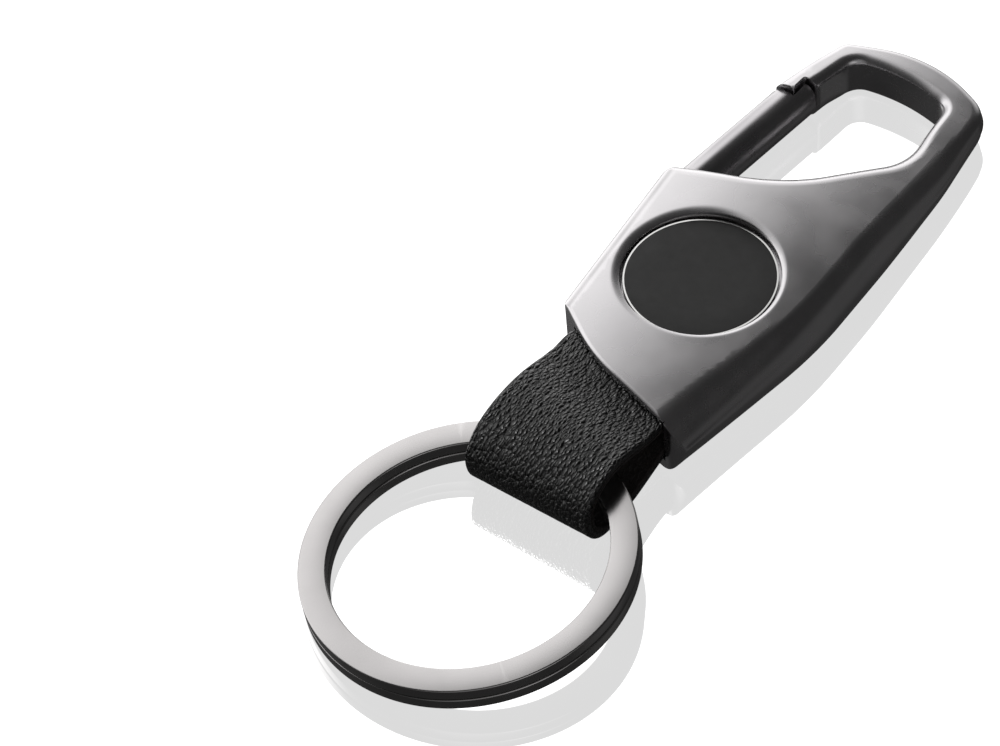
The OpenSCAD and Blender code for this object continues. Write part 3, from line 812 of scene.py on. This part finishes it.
at, path, left = strap_path(0.35)
soft = 0.22
sections = []
for s, p, n_left in zip(at, path, left):
    section = [(-half_w + 0.02, inner + 0.03)]
    section += [(x, inner) for x in np.linspace(-half_w + 0.06, half_w - 0.06, 12)]
    section += [(half_w - 0.02, inner + 0.03), (half_w, inner + 0.18)]
    for a in np.radians(np.linspace(0, 90, 5)):
        section.append((half_w - soft + soft * math.cos(a), STRAP_T / 2 - soft + soft * math.sin(a)))
    section += [(x, STRAP_T / 2 - 0.012 * abs(math.sin(3 * x + s)))
                for x in np.linspace(half_w - 0.4, -half_w + 0.4, 30)]
    for a in np.radians(np.linspace(90, 0, 5)):
        section.append((-half_w + soft - soft * math.cos(a), STRAP_T / 2 - soft + soft * math.sin(a)))
    section += [(-half_w, inner + 0.18)]
    sections.append([skewed(x, p[0] + n_left[0] * d, p[1] + n_left[1] * d) for x, d in section])
lining = sweep("strap_inner_lining", sections, lining_leather, smooth_angle=60)
for piece, node, slot_name in ((strap, "strap_leather", "leather"), (lining, "strap_lining", "lining")):
    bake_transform(piece)
    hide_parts(node)

# ---- gate's spring, hidden in its bore ----
wire, coil_r, coils, per_coil = 0.16, 0.78, 7, 28
low_y, high_y = SPRING_Y[0] + wire + 0.02, SPRING_Y[1] - wire - 0.02
sections = []
for i in range(coils * per_coil + 1):
    a = 2 * math.pi * i / per_coil
    y = low_y + (high_y - low_y) * i / (coils * per_coil)
    sections.append([(px + LOBE_ARM + math.cos(a) * (coil_r + wire * math.cos(b)), y + wire * math.sin(b),
                      MID_Z + math.sin(a) * (coil_r + wire * math.cos(b)))
                     for b in np.linspace(0, 2 * math.pi, 12, endpoint=False)])
spring = sweep("gate_spring_coil", sections, steel)
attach(spring, "carabiner")
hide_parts("gate_spring")
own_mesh(spring)

# ---- CAD nodes that keep their shape ----
for name, look in (("gate_pivot_pin", steel), ("spring_plunger", steel), ("strap_screw_left", steel),
                   ("strap_screw_right", steel), ("inlay_adhesive", adhesive)):
    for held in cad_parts[name].material_slots:
        held.material = look

# ---- camera, at the angle of the reference view ----
AZIMUTH, ELEVATION, ROLL = (math.radians(v) for v in (40.5, 49.5, 5.7))
back_dir = Vector((math.sin(AZIMUTH) * math.cos(ELEVATION), -math.cos(AZIMUTH) * math.cos(ELEVATION),
                   math.sin(ELEVATION)))
right_dir = Vector((math.cos(AZIMUTH), math.sin(AZIMUTH), 0))
up_dir = back_dir.cross(right_dir)
cam_x = right_dir * math.cos(ROLL) - up_dir * math.sin(ROLL)
cam_y = right_dir * math.sin(ROLL) + up_dir * math.cos(ROLL)
camera = bpy.data.objects.new("camera", bpy.data.cameras.new("camera"))
camera.data.sensor_width, camera.data.lens = 36, 180
camera.data.clip_start, camera.data.clip_end = 0.02, 20
camera.matrix_world = Matrix.Translation(Vector((207.6, -276.7, 399.4)) * MM) @ Matrix(
    (cam_x, cam_y, back_dir)).transposed().to_4x4()
bpy.context.scene.collection.objects.link(camera)
bpy.context.scene.camera = camera

# ---- floor: white, with a soft mirror image of the object ----
floor_mat, n = material("studio_floor")
glow = n.add("Emission", {"Color": (1, 1, 1, 1), "Strength": 0.70})
mirror = n.add("BsdfGlossy", {"Color": (0.42, 0.42, 0.42, 1), "Roughness": 0.03})
both = n.add("AddShader", {0: glow.outputs[0], 1: mirror.outputs[0]})
n.tree.links.new(both.outputs[0], n.add("OutputMaterial").inputs[0])
FLOOR_HALF, FLOOR_Z = 3000.0, -0.03
floor = make_object("studio_floor", [(FLOOR_HALF * sx, FLOOR_HALF * sy, FLOOR_Z)
                                     for sx, sy in ((-1, -1), (1, -1), (1, 1), (-1, 1))],
                    [(0, 1, 2, 3)], floor_mat)
floor.visible_diffuse = floor.visible_glossy = floor.visible_shadow = False


def lamp_for(name, piece, spread, energy):
    """A distant lamp of the given spread in degrees that lights one piece alone."""
    lamp = bpy.data.objects.new(name, bpy.data.lights.new(name, "SUN"))
    lamp.data.angle = math.radians(spread)
    lamp.data.energy = energy
    lit = bpy.data.collections.new("lit_by_" + name)
    lit.objects.link(piece)
    lamp.light_linking.receiver_collection = lit
    bpy.context.scene.collection.objects.link(lamp)
    return lamp


# the first whitens the floor round the object's mirror image, and the second gives the leather its highlights
lamp_for("floor_sky", floor, 178, 3.1)
glint = lamp_for("leather_glint", strap, 16, 0.9)
glint.rotation_euler = Vector((-0.42, 0.0, 0.9)).to_track_quat("Z", "Y").to_euler()

# ---- soft studio light: a large soft source low on the left, fading to dark overhead and on the right ----
world = bpy.data.worlds.new("studio")
bpy.context.scene.world = world
world.use_nodes = True
n = Nodes(world.node_tree)
direction = n.add("TexCoord").outputs["Generated"]


def towards(*v):
    v = Vector(v).normalized()
    return n.add("VectorMath", {0: direction, 1: tuple(v)}, operation="DOT_PRODUCT").outputs["Value"]


def lobe(v, width, power):
    """A soft round source in direction v, that fades out where the cosine falls by width."""
    return n.add("MapRange", {0: towards(*v), 1: 1 - width, 2: 1.0, 3: 0.0, 4: power},
                 interpolation_type="SMOOTHSTEP").outputs[0]


PEAK = 3.0
# brightness of the main source by the cosine of the angle from its middle
KEY = ((0.0, 0.03), (0.40, 0.05), (0.54, 0.08), (0.60, 0.24), (0.65, 0.62), (0.69, 0.75), (0.74, 1.1),
       (0.79, 1.35), (0.84, 1.5), (0.90, 1.55), (0.95, 1.2), (1.0, 0.8))
key = n.math("MULTIPLY", n.ramp(towards(-0.93, 0.3, 0.2), *((p, v / PEAK) for p, v in KEY)), PEAK)
shade_off = n.add("MapRange", {0: towards(-0.21, 0.66, 0.72), 1: 0.965, 2: 0.995, 3: 1.3, 4: 0.57},
                  interpolation_type="SMOOTHSTEP").outputs[0]
light = n.math("MULTIPLY", key, shade_off)
for v, width, power in (((-0.25, 0.95, 0.0), 0.14, 0.9), ((0.55, -0.75, 0.35), 0.3, 0.3),
                        ((0.92, -0.35, 0.2), 0.12, 0.6), ((0.6, 0.49, -0.6), 0.08, 0.05)):
    light = n.math("ADD", light, lobe(v, width, power))
background = n.add("Background", {"Color": (1.0, 0.995, 0.99, 1), "Strength": light})
n.tree.links.new(background.outputs[0], n.add("OutputWorld").inputs[0])
bpy.context.scene.view_settings.view_transform = "Standard"
